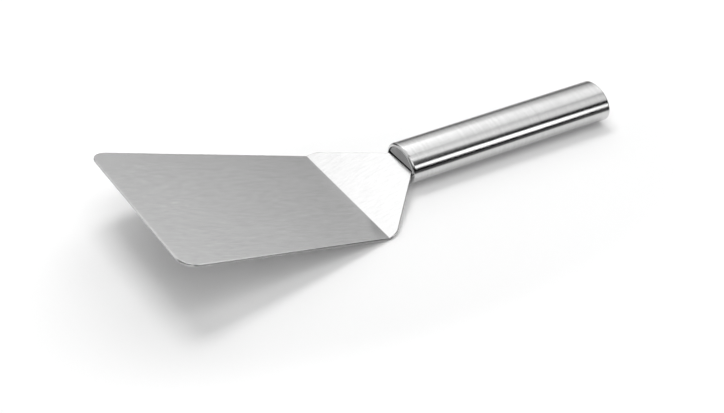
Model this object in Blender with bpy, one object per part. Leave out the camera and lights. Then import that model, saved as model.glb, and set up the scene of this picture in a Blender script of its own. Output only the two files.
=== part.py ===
"""Plancha spatula: a bent stainless sheet whose tang is held in an oval tube handle.

Metres, +Z up. The spatula lies on its bend and on its tube, with the blade's tip in the air.
+X runs from the tip to the handle, the XZ plane is its plane of symmetry, and the origin is
below the middle of its box.
"""

from math import asin, cos, pi, radians, sin, tan

import bmesh
import bpy
from mathutils import Vector

MM = 0.001

# Sheet: blade, shoulder and tang
SHEET_THICKNESS = 1.5 * MM
SHEET_EDGE_RADIUS = 0.5 * MM
BLADE_LENGTH = 132.0 * MM
TIP_WIDTH = 120.0 * MM
TIP_CORNER_RADIUS = 9.0 * MM
BEND_WIDTH = 93.0 * MM
BEND_INSIDE_RADIUS = 1.6 * MM
BLADE_RISE = radians(16.3)
SHOULDER_RISE = radians(16.5)
SHOULDER_STRAIGHT = 5.0 * MM
SHOULDER_CORNER_RADIUS = 10.0 * MM
TANG_LENGTH = 32.0 * MM
TANG_CORNER_RADIUS = 4.0 * MM
TANG_BEND_INSIDE_RADIUS = 1.6 * MM

# Oval tube handle, with a full round lip at its mouth
TUBE_WIDTH = 30.0 * MM
TUBE_HEIGHT = 22.0 * MM
TUBE_WALL = 2.0 * MM
TUBE_LENGTH = 135.0 * MM
MOUTH_EDGE_RADIUS = 1.6 * MM
REAR_EDGE_RADIUS = 0.7 * MM

# The tang is narrower than the tube's bore, and room for the weld is left on both sides
TANG_SIDE_CLEARANCE = 0.6 * MM
TANG_WIDTH = TUBE_WIDTH - 2 * (TUBE_WALL + TANG_SIDE_CLEARANCE)

# Plates that close the tube
FRONT_PLATE_THICKNESS = 2.0 * MM
FRONT_PLATE_RECESS = 0.8 * MM
REAR_PLATE_THICKNESS = 2.0 * MM
REAR_PLATE_RECESS = 0.5 * MM

# Clearance between pieces that are welded or seated together, and the open slot above the tang
SEAT_GAP = 0.3 * MM
TANG_SLOT_GAP = 0.8 * MM

# How finely arcs and ovals are divided, and how exactly the blank is creased
CORNER_STEPS = 10
SHEET_EDGE_STEPS = 3
TUBE_EDGE_STEPS = 5
BEND_STEPS = 5
OVAL_STEPS = 80
CREASE_TOLERANCE = 0.0001 * MM
SMOOTH_ANGLE = radians(30)

BRUSHED_STEEL = {"color": (0.50, 0.50, 0.50, 1.0), "roughness": 0.38, "metallic": 1.0}
POLISHED_STEEL = {"color": (0.62, 0.62, 0.62, 1.0), "roughness": 0.14, "metallic": 1.0}
PLATE_STEEL = {"color": (0.42, 0.42, 0.42, 1.0), "roughness": 0.45, "metallic": 1.0}


def clear_scene():
    for existing in list(bpy.data.objects):
        bpy.data.objects.remove(existing, do_unlink=True)


def steel(name, finish):
    """A material of its own for one piece."""
    material = bpy.data.materials.new(name)
    material.use_nodes = True
    shader = material.node_tree.nodes["Principled BSDF"]
    shader.inputs["Base Color"].default_value = finish["color"]
    shader.inputs["Roughness"].default_value = finish["roughness"]
    shader.inputs["Metallic"].default_value = finish["metallic"]
    return material


def add_piece(name, shape, finish):
    """Turn a bmesh into a named object with its own material."""
    bmesh.ops.recalc_face_normals(shape, faces=shape.faces)
    mesh = bpy.data.meshes.new(name)
    shape.to_mesh(mesh)
    shape.free()
    mesh.shade_smooth()
    mesh.set_sharp_from_angle(angle=SMOOTH_ANGLE)
    mesh.materials.append(steel(name, finish))
    piece = bpy.data.objects.new(name, mesh)
    bpy.context.scene.collection.objects.link(piece)
    return piece


def rounded_corner(before, corner, after, radius):
    """Points of the arc that rounds one corner of a flat outline."""
    to_before = (before - corner).normalized()
    to_after = (after - corner).normalized()
    half_angle = to_before.angle(to_after) / 2
    reach = radius / tan(half_angle)
    centre = corner + (to_before + to_after).normalized() * (radius / sin(half_angle))
    start = corner + to_before * reach - centre
    turn = pi - 2 * half_angle
    side = 1 if to_before.cross(to_after) < 0 else -1
    points = []
    for step in range(CORNER_STEPS + 1):
        angle = side * turn * step / CORNER_STEPS
        points.append(centre + Vector((start.x * cos(angle) - start.y * sin(angle),
                                       start.x * sin(angle) + start.y * cos(angle))))
    return points


def outline(corners):
    """A closed flat outline from corners of (point, radius); radius 0 leaves a corner sharp."""
    points = []
    for index, (corner, radius) in enumerate(corners):
        if radius == 0:
            points.append(corner)
            continue
        before = corners[index - 1][0]
        after = corners[(index + 1) % len(corners)][0]
        points.extend(rounded_corner(before, corner, after, radius))
    return points


class SheetPath:
    """The middle fibre of the bent sheet in the XZ plane.

    Distances along it start at the main bend's lowest line. They are negative on the blade and
    positive on the shoulder and tang. The shoulder climbs just far enough to bring the tang to
    the tube's axis while the bend and the tube lie on the same ground.
    """

    def __init__(self):
        half_sheet = SHEET_THICKNESS / 2
        self.main_radius = BEND_INSIDE_RADIUS + half_sheet
        self.tang_radius = TANG_BEND_INSIDE_RADIUS + half_sheet
        climb = TUBE_HEIGHT / 2 - half_sheet
        arcs_climb = (self.main_radius + self.tang_radius) * (1 - cos(SHOULDER_RISE))
        self.shoulder_run = (climb - arcs_climb) / sin(SHOULDER_RISE)
        self.blade_arc = self.main_radius * BLADE_RISE
        self.shoulder_arc = self.main_radius * SHOULDER_RISE
        self.tang_bend_start = self.shoulder_arc + self.shoulder_run
        self.tang_bend_end = self.tang_bend_start + self.tang_radius * SHOULDER_RISE

    def main_arc(self, angle):
        x = self.main_radius * sin(angle)
        z = SHEET_THICKNESS / 2 + self.main_radius * (1 - cos(angle))
        return Vector((x, 0, z))

    def at(self, distance):
        """The fibre's point and the sheet's upward normal at a distance along it."""
        if distance < -self.blade_arc:
            slope = -BLADE_RISE
            run = distance + self.blade_arc
            point = self.main_arc(slope) + run * Vector((cos(slope), 0, sin(slope)))
        elif distance <= self.shoulder_arc:
            slope = distance / self.main_radius
            point = self.main_arc(slope)
        elif distance <= self.tang_bend_start:
            slope = SHOULDER_RISE
            run = distance - self.shoulder_arc
            point = self.main_arc(slope) + run * Vector((cos(slope), 0, sin(slope)))
        else:
            slope = max(0.0, SHOULDER_RISE - (distance - self.tang_bend_start) / self.tang_radius)
            start = self.at(self.tang_bend_start)[0]
            across = sin(SHOULDER_RISE) - sin(slope)
            up = cos(slope) - cos(SHOULDER_RISE)
            straight = max(0.0, distance - self.tang_bend_end)
            point = start + Vector((self.tang_radius * across + straight, 0, self.tang_radius * up))
        return point, Vector((-sin(slope), 0, cos(slope)))

    def bend_lines(self):
        """Distances at which the flat blank is creased so that both bends come out round."""
        arcs = [
            (-self.blade_arc, 0.0),
            (0.0, self.shoulder_arc),
            (self.tang_bend_start, self.tang_bend_end),
        ]
        lines = set()
        for first, last in arcs:
            lines.update(first + (last - first) * step / BEND_STEPS for step in range(BEND_STEPS + 1))
        return sorted(lines)


def blank_corners(path):
    """Corners of the flat blank, counter-clockwise, as (point, radius)."""
    shoulder_end = path.tang_bend_start
    one_side = [
        (Vector((-BLADE_LENGTH, TIP_WIDTH / 2)), TIP_CORNER_RADIUS),
        (Vector((SHOULDER_STRAIGHT, BEND_WIDTH / 2)), SHOULDER_CORNER_RADIUS),
        (Vector((shoulder_end, TANG_WIDTH / 2)), 0),
        (Vector((shoulder_end + TANG_LENGTH, TANG_WIDTH / 2)), TANG_CORNER_RADIUS),
    ]
    other_side = [(Vector((corner.x, -corner.y)), radius) for corner, radius in one_side]
    return other_side + one_side[::-1]


def cut_blank(path):
    """The flat blank at its full thickness, creased at the bend lines."""
    shape = bmesh.new()
    below = -SHEET_THICKNESS / 2
    shape.faces.new([shape.verts.new((point.x, point.y, below)) for point in outline(blank_corners(path))])
    for line in path.bend_lines():
        bmesh.ops.bisect_plane(shape, geom=shape.verts[:] + shape.edges[:] + shape.faces[:],
                               plane_co=(line, 0, 0), plane_no=(1, 0, 0), dist=CREASE_TOLERANCE)
    raised = bmesh.ops.extrude_face_region(shape, geom=shape.faces[:], use_keep_orig=True)
    top = [item for item in raised["geom"] if isinstance(item, bmesh.types.BMVert)]
    bmesh.ops.translate(shape, verts=top, vec=(0, 0, SHEET_THICKNESS))
    bmesh.ops.recalc_face_normals(shape, faces=shape.faces)
    return shape


def round_cut_edges(shape):
    """Break the sharp edges that cutting leaves all round the blank's top and underside."""
    cut_edges = [edge for edge in shape.edges if edge.calc_face_angle() > SMOOTH_ANGLE
                 and edge.verts[0].co.z * edge.verts[1].co.z > 0]
    bmesh.ops.bevel(shape, geom=cut_edges, offset=SHEET_EDGE_RADIUS, offset_type="OFFSET",
                    segments=SHEET_EDGE_STEPS, profile=0.5, affect="EDGES", loop_slide=True)


def build_blade(path):
    """Cut the flat blank, round its edges and bend it."""
    shape = cut_blank(path)
    round_cut_edges(shape)
    for vertex in shape.verts:
        point, normal = path.at(vertex.co.x)
        bent = point + normal * vertex.co.z
        vertex.co = (bent.x, vertex.co.y, bent.z)
    return add_piece("blade", shape, BRUSHED_STEEL)


def oval_ring(shape, x, inset):
    """A ring of vertices on the tube's oval, drawn in by an inset."""
    half_width = TUBE_WIDTH / 2 - inset
    half_height = TUBE_HEIGHT / 2 - inset
    ring = []
    for step in range(OVAL_STEPS):
        angle = 2 * pi * step / OVAL_STEPS
        height = TUBE_HEIGHT / 2 - half_height * cos(angle)
        ring.append(shape.verts.new((x, half_width * sin(angle), height)))
    return ring


def join_rings(shape, first, second):
    for index in range(len(first)):
        following = (index + 1) % len(first)
        shape.faces.new((first[index], first[following], second[following], second[index]))


def tube_sections(front, rear):
    """Stations (x, inset) round the tube's wall: along the outside, then back through the bore."""
    quarter = [pi / 2 * step / TUBE_EDGE_STEPS for step in range(TUBE_EDGE_STEPS + 1)]
    edge = [(1 - sin(turn), 1 - cos(turn)) for turn in quarter]
    mouth_edge = [(front + MOUTH_EDGE_RADIUS * back, MOUTH_EDGE_RADIUS * inset) for back, inset in edge[::-1]]
    rear_edge = [(rear - REAR_EDGE_RADIUS * back, REAR_EDGE_RADIUS * inset) for back, inset in edge]
    return mouth_edge + rear_edge + [(rear, TUBE_WALL), (front, TUBE_WALL)]


def build_tube(front, rear):
    shape = bmesh.new()
    rings = [oval_ring(shape, x, inset) for x, inset in tube_sections(front, rear)]
    for index in range(len(rings)):
        join_rings(shape, rings[index - 1], rings[index])
    return add_piece("handle_tube", shape, POLISHED_STEEL)


def extrude_plate(points, x, thickness):
    """A flat plate square to the tube, from points (y, z) of its outline."""
    shape = bmesh.new()
    near = [shape.verts.new((x, y, z)) for y, z in points]
    far = [shape.verts.new((x + thickness, y, z)) for y, z in points]
    shape.faces.new(near)
    shape.faces.new(far[::-1])
    join_rings(shape, near, far)
    return shape


def half_oval(half_width, half_height, flat, side):
    """Outline (y, z) of the oval's part beyond a flat; side is +1 above the tube's axis, -1 below."""
    start = asin(flat / half_height)
    steps = OVAL_STEPS // 2
    points = []
    for step in range(steps + 1):
        angle = start + (pi - 2 * start) * step / steps
        points.append((half_width * cos(angle), TUBE_HEIGHT / 2 + side * half_height * sin(angle)))
    return points


def build_front_plates(front):
    inset = TUBE_WALL + SEAT_GAP
    plates = []
    for name, side, gap in (("upper_front_plate", 1, TANG_SLOT_GAP), ("lower_front_plate", -1, SEAT_GAP)):
        flat = SHEET_THICKNESS / 2 + gap
        points = half_oval(TUBE_WIDTH / 2 - inset, TUBE_HEIGHT / 2 - inset, flat, side)
        shape = extrude_plate(points, front + FRONT_PLATE_RECESS, FRONT_PLATE_THICKNESS)
        plates.append(add_piece(name, shape, PLATE_STEEL))
    return plates


def build_rear_plate(rear):
    inset = TUBE_WALL + SEAT_GAP
    half_width = TUBE_WIDTH / 2 - inset
    half_height = TUBE_HEIGHT / 2 - inset
    angles = [2 * pi * step / OVAL_STEPS for step in range(OVAL_STEPS)]
    points = [(half_width * sin(angle), TUBE_HEIGHT / 2 - half_height * cos(angle)) for angle in angles]
    x = rear - REAR_PLATE_RECESS - REAR_PLATE_THICKNESS
    return add_piece("rear_plate", extrude_plate(points, x, REAR_PLATE_THICKNESS), POLISHED_STEEL)


def main():
    """Model along the sheet from the bend's lowest line, then centre the spatula on the origin."""
    clear_scene()
    path = SheetPath()
    front = path.at(path.tang_bend_start)[0].x
    rear = front + TUBE_LENGTH
    blade = build_blade(path)
    tip = min(vertex.co.x for vertex in blade.data.vertices)
    for piece in [blade, build_tube(front, rear), *build_front_plates(front), build_rear_plate(rear)]:
        piece.location.x = -(tip + rear) / 2


main()
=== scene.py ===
"""Looks of the plancha spatula: finely shaded steel on a pale floor under soft studio panels."""

from math import cos, pi, radians, sin

import bmesh
import bpy
from mathutils import Matrix, Vector

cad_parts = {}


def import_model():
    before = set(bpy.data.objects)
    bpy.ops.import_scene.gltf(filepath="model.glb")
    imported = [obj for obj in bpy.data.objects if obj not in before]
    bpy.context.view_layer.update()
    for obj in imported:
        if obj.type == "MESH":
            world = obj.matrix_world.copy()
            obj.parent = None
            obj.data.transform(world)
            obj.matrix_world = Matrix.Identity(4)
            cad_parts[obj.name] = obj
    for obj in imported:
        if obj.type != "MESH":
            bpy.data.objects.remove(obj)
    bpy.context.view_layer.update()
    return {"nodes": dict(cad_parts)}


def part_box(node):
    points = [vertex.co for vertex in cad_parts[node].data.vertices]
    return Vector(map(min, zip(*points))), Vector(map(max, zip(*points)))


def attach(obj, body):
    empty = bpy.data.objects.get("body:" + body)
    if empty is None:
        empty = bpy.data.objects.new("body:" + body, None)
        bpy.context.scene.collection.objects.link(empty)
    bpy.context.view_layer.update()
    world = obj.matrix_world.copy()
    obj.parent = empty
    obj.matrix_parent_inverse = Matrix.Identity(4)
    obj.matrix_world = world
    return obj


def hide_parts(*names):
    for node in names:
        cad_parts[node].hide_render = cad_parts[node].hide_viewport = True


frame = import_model()

# Lengths are in metres, apart from the camera's sensor in millimetres
# Camera: fitted to the outline of the object in the photograph
CAMERA_PLACE = (-0.425396, -0.714591, 0.56538)
CAMERA_FORWARD = (0.411239, 0.710262, -0.571324)
CAMERA_RIGHT = (0.864426, -0.502752, -0.002801)
FOCAL_PIXELS = 1787.4
IMAGE_WIDTH = 724
SENSOR_WIDTH = 36.0
NEAREST_SEEN = 0.01
FARTHEST_SEEN = 50

# Oval tube: the CAD's sizes, with more sides
TUBE_WALL = 0.002
MOUTH_EDGE_RADIUS = 0.0016
REAR_EDGE_RADIUS = 0.0007
TUBE_SIDES = 320
TUBE_EDGE_STEPS = 10
TUBE_AXIS_HEIGHT = 0.011
SMOOTH_ANGLE = radians(32)

# Bent sheet: how its facets are welded and shaded
WELD_DISTANCE = 1e-6
FLAT_ANGLE = radians(0.02)
LARGE_FACE_WEIGHT = 100

# Steel: four noises share one pattern, which varies tone and gloss; the streaks alone give relief
GRAIN_SCALE = 16.0
BROAD_STRETCH = 0.3
PATCH_SCALE = 22.0
MOTTLE_SCALE = 260.0
STREAK_SHARE = 0.32
BROAD_SHARE = 0.42
MOTTLE_SHARE = 0.13
PATCH_SHARE = 0.13
PATTERN_SPAN = (0.3, 0.7)
GLOSS_PATTERN_SHARE = 0.7
GLOSS_PATCH_SHARE = 0.3
RELIEF_HEIGHT = 0.00002
TANGENT_PER_METRE = (60, 60, 60)

# A ramp is (low, high), between which a share grows from 0 to 1, or (low, high, share at low, at high)
# Edges: ramps of the normal's part along Y and along X, from a smooth face to an edge
BLADE_RIM = ((0.08, 0.35), (0.38, 0.6))
TUBE_RIM = (None, (0.05, 0.3))
RIM_ROUGHNESS = 0.12
# Painted shade: the flat in the middle of the sheet's cut edge is painted darker, in place of the shadowed
# floor that it mirrors; the tip's end shows it only faintly
PAINTED_SHADE_FLAT = ((0.93, 0.99), (0.82, 0.94, 0.0, 0.15))

# Floor: ramps of its glow by distance, low near the object, where it would wash out the shadow
FLOOR_REACH = 8.0
FLOOR_TONE = 0.95
GLOW_MIDDLE = (0.0, -0.03, 0)
GLOW_STRETCH = (0.5, 1, 1)
NEAR_GLOW = (0.085, 0.125, 0.085, 0.20)
FAR_GLOW = (0.35, 1.1)
# As the steel shows it, the smooth board is glossy at grazing angles; towards the dark front its gloss
# colour is painted black, a painted dark reflection
BOARD_ROUGHNESS = 0.1
BOARD_FRONT = (0.0, 0.04, 1.0, 0.0)
FRONT_DARKNESS = 0.95
GRAZING_POWER = 4.0
FRONT_GRAZING = (0.66, 0.79)
MOST_GLOSS = 0.93

# Studio room: ramps by direction, with azimuths as in toward()
STUDIO_MIDDLE = Vector((-0.0214, 0.0, 0.0))
PALE_SIDE = 75
PALE_LEVEL = (-0.10, 1.0, 0.0, 0.105)
TIP_WALL_LEVEL = (0.1, 0.45, 0.0, 0.65)
TIP_WALL_HEIGHT = (0.3, 0.55)

# Softboxes: fades are an axis and its ramp, from 0 to 1 across the panel
BACK_PANEL_FADES = (("Y", 0.02, 0.27, 0.0, 1.0), ("Y", 0.30, 0.60, 0.5, 1.0), ("Y", 0.63, 1.0, 1.0, 0.4))
HIGH_PANEL_FADES = (("X", 0.0, 0.25, 0.0, 1.0), ("X", 0.75, 1.0, 1.0, 0.0))
TOP_PANEL_FADES = (("Y", 0.224, 0.857, 1.0, 0.0),)
TOP_PANEL_PLACE = Vector((0.842, 0.0735, 0.9))
TOP_PANEL_ACROSS = Vector((0.92, -0.39, 0))
TOP_PANEL_UP = Vector((0.39, 0.92, 0))
STRIP_AZIMUTH = -57
STRIP_ROLL = -50
STRIP_SHIFT = 0.038
STRIP_HEIGHT = 0.435


def add_camera():
    data = bpy.data.cameras.new("camera")
    data.sensor_width = SENSOR_WIDTH
    data.lens = SENSOR_WIDTH * FOCAL_PIXELS / IMAGE_WIDTH
    data.clip_start = NEAREST_SEEN
    data.clip_end = FARTHEST_SEEN
    camera = bpy.data.objects.new("camera", data)
    bpy.context.scene.collection.objects.link(camera)
    right = Vector(CAMERA_RIGHT).normalized()
    back = -Vector(CAMERA_FORWARD).normalized()
    up = back.cross(right).normalized()
    right = up.cross(back)
    turn = Matrix((right, up, back)).transposed()
    camera.matrix_world = Matrix.Translation(CAMERA_PLACE) @ turn.to_4x4()
    bpy.context.scene.camera = camera


class Nodes:
    """Shorthand for building a node tree."""

    def __init__(self, tree):
        self.tree = tree
        tree.nodes.clear()

    def add(self, kind, **settings):
        node = self.tree.nodes.new(kind)
        for key, value in settings.items():
            setattr(node, key, value)
        return node

    def link(self, source, target):
        self.tree.links.new(source, target)

    def feed(self, socket, value):
        """Link another socket, or set a plain value."""
        if isinstance(value, bpy.types.NodeSocket):
            self.link(value, socket)
        else:
            socket.default_value = value

    def math(self, operation, *values, clamp=False):
        node = self.add("ShaderNodeMath", operation=operation, use_clamp=clamp)
        for socket, value in zip(node.inputs, values):
            self.feed(socket, value)
        return node.outputs[0]

    def total(self, *shares):
        """Sum of (value, share) pairs."""
        result = None
        for value, share in shares:
            part = self.math("MULTIPLY", value, share)
            result = part if result is None else self.math("ADD", result, part)
        return result

    def vector(self, operation, *values):
        node = self.add("ShaderNodeVectorMath", operation=operation)
        for socket, value in zip(node.inputs, values):
            self.feed(socket, value)
        return node.outputs["Value" if operation in ("DOT_PRODUCT", "LENGTH") else "Vector"]

    def split(self, vector):
        node = self.add("ShaderNodeSeparateXYZ")
        self.link(vector, node.inputs[0])
        return node.outputs

    def ramp(self, value, low, high, to_low=0.0, to_high=1.0, smooth=True):
        node = self.add("ShaderNodeMapRange")
        node.interpolation_type = "SMOOTHSTEP" if smooth else "LINEAR"
        for name, number in (("Value", value), ("From Min", low), ("From Max", high),
                             ("To Min", to_low), ("To Max", to_high)):
            self.feed(node.inputs[name], number)
        return node.outputs["Result"]

    def noise(self, coordinates, stretch, scale, detail=2.0, roughness=0.5):
        mapping = self.add("ShaderNodeMapping")
        self.link(coordinates, mapping.inputs["Vector"])
        mapping.inputs["Scale"].default_value = stretch
        node = self.add("ShaderNodeTexNoise")
        self.link(mapping.outputs["Vector"], node.inputs["Vector"])
        node.inputs["Scale"].default_value = scale
        node.inputs["Detail"].default_value = detail
        node.inputs["Roughness"].default_value = roughness
        return node.outputs["Fac"]

    def seen(self):
        """Light Path node, and 1 for rays that show a surface to the camera, directly or in metal."""
        path = self.add("ShaderNodeLightPath")
        indirect = self.math("ADD", path.outputs["Is Glossy Ray"], path.outputs["Is Transmission Ray"])
        return path, self.math("ADD", path.outputs["Is Camera Ray"], indirect, clamp=True)

    def mix_color(self, factor, first, second):
        """Colours have sockets 6 and 7 and output 2 of this node."""
        node = self.add("ShaderNodeMix", data_type="RGBA")
        self.feed(node.inputs[0], factor)
        self.feed(node.inputs[6], first)
        self.feed(node.inputs[7], second)
        return node.outputs[2]

    def direction(self, vector):
        """A fixed vector, for a socket that takes only a link."""
        node = self.add("ShaderNodeCombineXYZ")
        for socket, value in zip(node.inputs, vector):
            socket.default_value = value
        return node.outputs[0]


def grey(value):
    return (value, value, value, 1.0)


def edge_share(nodes, side_span, end_span):
    """Grows from 0 to 1 where the normal turns to the sides (Y) or to the ends (X)."""
    normal = nodes.split(nodes.add("ShaderNodeTexCoord").outputs["Normal"])
    end = nodes.ramp(nodes.math("ABSOLUTE", normal["X"]), *end_span)
    if side_span is None:
        return end
    return nodes.math("MAXIMUM", nodes.ramp(nodes.math("ABSOLUTE", normal["Y"]), *side_span), end)


def steel(name, tone, tone_spread, roughness, roughness_spread, stretch, anisotropy, across, relief,
          round_axis=False, rim=None, painted_edge_shade_tone=None):
    """Brushed steel: streaks of noise drawn out along the grain vary tone, gloss and relief.

    stretch gives the noise's fineness along X, Y and Z, and across is the direction across the grain.
    """
    material = bpy.data.materials.new(name)
    material.use_nodes = True
    nodes = Nodes(material.node_tree)
    place = nodes.add("ShaderNodeTexCoord").outputs["Object"]
    streaks = nodes.noise(place, stretch, GRAIN_SCALE, detail=4.0, roughness=0.65)
    broad = nodes.noise(place, tuple(BROAD_STRETCH * s for s in stretch), GRAIN_SCALE)
    patches = nodes.noise(place, (1, 1, 1), PATCH_SCALE)
    mottle = nodes.noise(place, (1, 1, 1), MOTTLE_SCALE, detail=3.0, roughness=0.6)
    pattern = nodes.total((streaks, STREAK_SHARE), (broad, BROAD_SHARE),
                          (mottle, MOTTLE_SHARE), (patches, PATCH_SHARE))
    shader = nodes.add("ShaderNodeBsdfPrincipled")
    shader.inputs["Metallic"].default_value = 1.0
    color = nodes.mix_color(nodes.ramp(pattern, *PATTERN_SPAN, smooth=False),
                            grey(tone - tone_spread), grey(tone + tone_spread))
    # Painted shade: the flat of the cut edge gets a darker tone, in place of the shadowed floor mirrored
    # there
    if painted_edge_shade_tone:
        color = nodes.mix_color(edge_share(nodes, *PAINTED_SHADE_FLAT), color, grey(painted_edge_shade_tone))
    nodes.link(color, shader.inputs["Base Color"])
    gloss = nodes.total((pattern, GLOSS_PATTERN_SHARE), (patches, GLOSS_PATCH_SHARE))
    gloss = nodes.ramp(gloss, *PATTERN_SPAN, roughness - roughness_spread, roughness + roughness_spread,
                       smooth=False)
    if rim:
        edge = edge_share(nodes, *rim)
        face = nodes.math("SUBTRACT", 1.0, edge)
        gloss = nodes.total((gloss, face), (edge, RIM_ROUGHNESS))
        nodes.link(nodes.math("MULTIPLY", face, anisotropy), shader.inputs["Anisotropic"])
    else:
        shader.inputs["Anisotropic"].default_value = anisotropy
    nodes.link(gloss, shader.inputs["Roughness"])
    if round_axis:
        # The end faces face along across, so there the tangent runs outwards from the axis
        outwards = nodes.vector("SUBTRACT", place, (0, 0, TUBE_AXIS_HEIGHT))
        tangent = nodes.vector("ADD", nodes.vector("MULTIPLY", outwards, TANGENT_PER_METRE), across)
    else:
        tangent = nodes.direction(across)
    nodes.link(tangent, shader.inputs["Tangent"])
    bump = nodes.add("ShaderNodeBump")
    bump.inputs["Strength"].default_value = relief
    bump.inputs["Distance"].default_value = RELIEF_HEIGHT
    nodes.link(streaks, bump.inputs["Height"])
    nodes.link(bump.outputs["Normal"], shader.inputs["Normal"])
    output = nodes.add("ShaderNodeOutputMaterial")
    nodes.link(shader.outputs[0], output.inputs["Surface"])
    return material


def add_mesh(name, shape, material):
    mesh = bpy.data.meshes.new(name)
    shape.to_mesh(mesh)
    shape.free()
    mesh.materials.append(material)
    piece = bpy.data.objects.new(name, mesh)
    bpy.context.scene.collection.objects.link(piece)
    return piece


def sheet(material):
    """The bent sheet with its facets welded, so that bends and edges are shaded round."""
    shape = bmesh.new()
    shape.from_mesh(frame["nodes"]["blade"].data)
    bmesh.ops.remove_doubles(shape, verts=shape.verts, dist=WELD_DISTANCE)
    bmesh.ops.dissolve_limit(shape, angle_limit=FLAT_ANGLE, verts=shape.verts, edges=shape.edges)
    bmesh.ops.recalc_face_normals(shape, faces=shape.faces)
    piece = add_mesh("bent_sheet", shape, material)
    piece.data.shade_smooth()
    weighted = piece.modifiers.new("weighted_normals", "WEIGHTED_NORMAL")
    weighted.mode = "FACE_AREA_WITH_ANGLE"
    weighted.weight = LARGE_FACE_WEIGHT
    weighted.keep_sharp = False
    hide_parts("blade")
    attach(piece, "root")


def tube(material):
    """The oval tube: rings of its outer face, both round edges and its bore, joined in a loop."""
    low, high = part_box("handle_tube")
    middle = (low + high) / 2
    half_width = (high.y - low.y) / 2
    half_height = (high.z - low.z) / 2
    quarter = [pi / 2 * step / TUBE_EDGE_STEPS for step in range(TUBE_EDGE_STEPS + 1)]
    edge = [(1 - sin(turn), 1 - cos(turn)) for turn in quarter]
    front = [(low.x + MOUTH_EDGE_RADIUS * x, MOUTH_EDGE_RADIUS * inset) for x, inset in edge[::-1]]
    rear = [(high.x - REAR_EDGE_RADIUS * x, REAR_EDGE_RADIUS * inset) for x, inset in edge]
    stations = front + rear + [(high.x, TUBE_WALL), (low.x, TUBE_WALL)]
    shape = bmesh.new()
    rings = []
    for x, inset in stations:
        ring = []
        for side in range(TUBE_SIDES):
            angle = 2 * pi * side / TUBE_SIDES
            ring.append(shape.verts.new((x, middle.y + (half_width - inset) * sin(angle),
                                         middle.z - (half_height - inset) * cos(angle))))
        rings.append(ring)
    for index in range(len(rings)):
        first, second = rings[index - 1], rings[index]
        for side in range(TUBE_SIDES):
            after = (side + 1) % TUBE_SIDES
            shape.faces.new((first[side], first[after], second[after], second[side]))
    bmesh.ops.recalc_face_normals(shape, faces=shape.faces)
    piece = add_mesh("oval_tube", shape, material)
    piece.data.shade_smooth()
    piece.data.set_sharp_from_angle(angle=SMOOTH_ANGLE)
    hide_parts("handle_tube")
    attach(piece, "root")


def floor_look():
    """White board: it glows for the camera and for steel, and is glossy only in the steel."""
    material = bpy.data.materials.new("floor_white")
    material.use_nodes = True
    nodes = Nodes(material.node_tree)
    path, seen = nodes.seen()
    shader = nodes.add("ShaderNodeBsdfPrincipled")
    shader.inputs["Base Color"].default_value = grey(FLOOR_TONE)
    shader.inputs["Specular IOR Level"].default_value = 0.0
    shader.inputs["Emission Color"].default_value = grey(1.0)
    place = nodes.vector("SUBTRACT", nodes.add("ShaderNodeTexCoord").outputs["Object"], GLOW_MIDDLE)
    away = nodes.vector("LENGTH", nodes.vector("MULTIPLY", place, GLOW_STRETCH))
    glow = nodes.math("ADD", nodes.ramp(away, *NEAR_GLOW), nodes.ramp(away, *FAR_GLOW))
    nodes.link(nodes.math("MULTIPLY", seen, glow), shader.inputs["Emission Strength"])
    front = nodes.ramp(nodes.split(place)["Y"], *BOARD_FRONT)
    gloss = nodes.add("ShaderNodeBsdfGlossy")
    gloss.inputs["Roughness"].default_value = BOARD_ROUGHNESS
    # Painted dark reflection: the board's gloss colour is painted black towards the front
    nodes.link(nodes.math("SUBTRACT", 1.0, nodes.math("MULTIPLY", front, FRONT_DARKNESS)),
               gloss.inputs["Color"])
    facing_away = nodes.add("ShaderNodeLayerWeight").outputs["Facing"]
    share = nodes.math("MAXIMUM", nodes.math("POWER", facing_away, GRAZING_POWER),
                       nodes.math("MULTIPLY", front, nodes.ramp(facing_away, *FRONT_GRAZING)))
    share = nodes.math("MINIMUM", share, MOST_GLOSS)
    board = nodes.add("ShaderNodeMixShader")
    nodes.link(nodes.math("MULTIPLY", path.outputs["Is Glossy Ray"], share), board.inputs[0])
    nodes.link(shader.outputs[0], board.inputs[1])
    nodes.link(gloss.outputs[0], board.inputs[2])
    output = nodes.add("ShaderNodeOutputMaterial")
    nodes.link(board.outputs[0], output.inputs["Surface"])
    return material


def floor():
    shape = bmesh.new()
    corners = ((-1, -1), (1, -1), (1, 1), (-1, 1))
    shape.faces.new([shape.verts.new((x * FLOOR_REACH, y * FLOOR_REACH, 0)) for x, y in corners])
    add_mesh("floor", shape, floor_look())


def toward(azimuth, elevation):
    """Unit vector to a place in the studio: azimuth 0 is beyond the handle, 90 behind the object."""
    a, e = radians(azimuth), radians(elevation)
    return Vector((cos(a) * cos(e), sin(a) * cos(e), sin(e)))


def facing(azimuth, elevation, distance, roll=0.0):
    """Place, across and up of a panel that faces the middle of the studio."""
    out = toward(azimuth, elevation)
    across = toward(azimuth + 90, 0)
    up = out.cross(across)
    turn = Matrix.Rotation(radians(roll), 3, out)
    return out * distance, turn @ across, turn @ up


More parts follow.
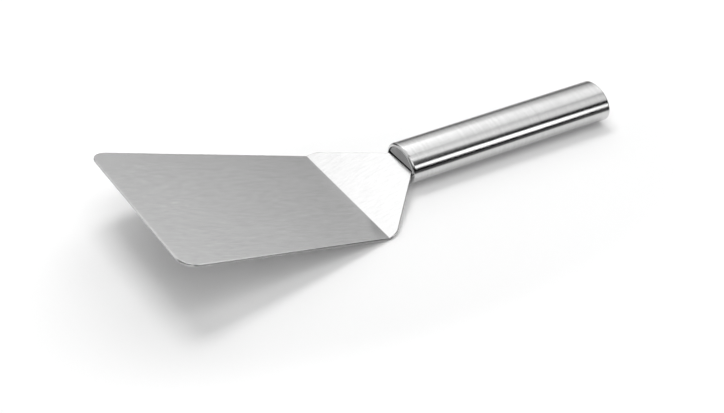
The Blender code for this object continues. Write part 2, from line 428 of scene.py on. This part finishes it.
def panel(name, place, across, up, width, height, radiance, fades=(), in_steel=True, lights=True):
    """A softbox. If not in_steel, it isn't mirrored in the steel; if not lights, it is only mirrored."""
    data = bpy.data.lights.new(name, "AREA")
    data.shape = "RECTANGLE"
    data.size = width
    data.size_y = height
    data.energy = radiance * pi * width * height
    data.use_nodes = True
    nodes = Nodes(data.node_tree)
    glow = nodes.add("ShaderNodeEmission")
    across_and_up = nodes.split(nodes.add("ShaderNodeNewGeometry").outputs["Parametric"])
    level = 1.0
    for axis, *span in fades:
        level = nodes.math("MULTIPLY", level, nodes.ramp(across_and_up[axis], *span))
    nodes.feed(glow.inputs["Strength"], level)
    output = nodes.add("ShaderNodeOutputLight")
    nodes.link(glow.outputs[0], output.inputs["Surface"])
    lamp = bpy.data.objects.new(name, data)
    bpy.context.scene.collection.objects.link(lamp)
    across, up = across.normalized(), up.normalized()
    turn = Matrix((across, up, across.cross(up))).transposed()
    lamp.matrix_world = Matrix.Translation(STUDIO_MIDDLE + place) @ turn.to_4x4()
    lamp.visible_camera = False
    lamp.visible_glossy = in_steel
    lamp.visible_diffuse = lights


def world():
    """Studio room: pale behind, dark in front, and for the camera and steel alone white beyond the tip."""
    room = bpy.data.worlds.new("studio")
    bpy.context.scene.world = room
    room.use_nodes = True
    nodes = Nodes(room.node_tree)
    direction = nodes.add("ShaderNodeTexCoord").outputs["Generated"]
    behind = nodes.vector("DOT_PRODUCT", direction, tuple(toward(PALE_SIDE, 0)))
    beyond_tip = nodes.vector("DOT_PRODUCT", direction, (-1, 0, 0))
    height = nodes.vector("DOT_PRODUCT", direction, (0, 0, 1))
    wall = nodes.math("MULTIPLY", nodes.seen()[1], nodes.ramp(beyond_tip, *TIP_WALL_LEVEL))
    wall = nodes.math("MULTIPLY", wall, nodes.ramp(height, *TIP_WALL_HEIGHT))
    level = nodes.math("ADD", nodes.ramp(behind, *PALE_LEVEL), wall)
    background = nodes.add("ShaderNodeBackground")
    nodes.link(level, background.inputs["Strength"])
    output = nodes.add("ShaderNodeOutputWorld")
    nodes.link(background.outputs[0], output.inputs["Surface"])


def panels():
    """Softboxes, whose mirror images give the steel its stripes."""
    panel("back_panel", *facing(azimuth=57, elevation=34, distance=1.2),
          width=1.62, height=1.33, radiance=1.24, fades=BACK_PANEL_FADES)
    panel("high_back_fill", *facing(azimuth=90, elevation=69, distance=1.3),
          width=0.65, height=0.42, radiance=6.6, in_steel=False)
    panel("high_back_panel", *facing(azimuth=88, elevation=64, distance=1.32),
          width=1.5, height=1.0, radiance=0.9, fades=HIGH_PANEL_FADES, lights=False)
    panel("left_back_panel", *facing(azimuth=138, elevation=20, distance=1.3),
          width=0.95, height=0.86, radiance=0.68)
    panel("front_left_panel", *facing(azimuth=248, elevation=62, distance=1.25),
          width=1.1, height=1.05, radiance=0.9)
    panel("front_left_fill", *facing(azimuth=248, elevation=62, distance=1.27),
          width=1.1, height=1.05, radiance=0.87, in_steel=False)
    panel("top_panel", TOP_PANEL_PLACE, TOP_PANEL_ACROSS, TOP_PANEL_UP,
          width=1.2, height=1.25, radiance=0.99, fades=TOP_PANEL_FADES)
    strip_place = toward(STRIP_AZIMUTH, 0) + STRIP_SHIFT * toward(STRIP_AZIMUTH + 90, 0)
    strip_place.z += STRIP_HEIGHT
    strip_across, strip_up = facing(azimuth=STRIP_AZIMUTH, elevation=0, distance=1.0, roll=STRIP_ROLL)[1:]
    panel("front_strip", strip_place, strip_across, strip_up, width=0.52, height=0.31, radiance=2.5)


add_camera()
blade_steel = steel("blade_steel_look", tone=0.66, tone_spread=0.06, roughness=0.25, roughness_spread=0.03,
                    stretch=(9, 120, 120), anisotropy=0.5, across=(0, 1, 0), relief=0.25,
                    rim=BLADE_RIM, painted_edge_shade_tone=0.27)
tube_steel = steel("tube_steel_look", tone=0.66, tone_spread=0.055, roughness=0.20, roughness_spread=0.025,
                   stretch=(160, 6, 6), anisotropy=0.9, across=(1, 0, 0), relief=0.25,
                   round_axis=True, rim=TUBE_RIM)
plate_steel = steel("plate_steel_look", tone=0.44, tone_spread=0.06, roughness=0.32, roughness_spread=0.05,
                    stretch=(120, 120, 8), anisotropy=0.5, across=(0, 1, 0), relief=0.3)
sheet(blade_steel)
tube(tube_steel)
for node in ("upper_front_plate", "lower_front_plate", "rear_plate"):
    plate = frame["nodes"][node]
    plate.data.materials[0] = plate_steel
floor()
world()
panels()

bpy.context.scene.view_settings.view_transform = "Standard"
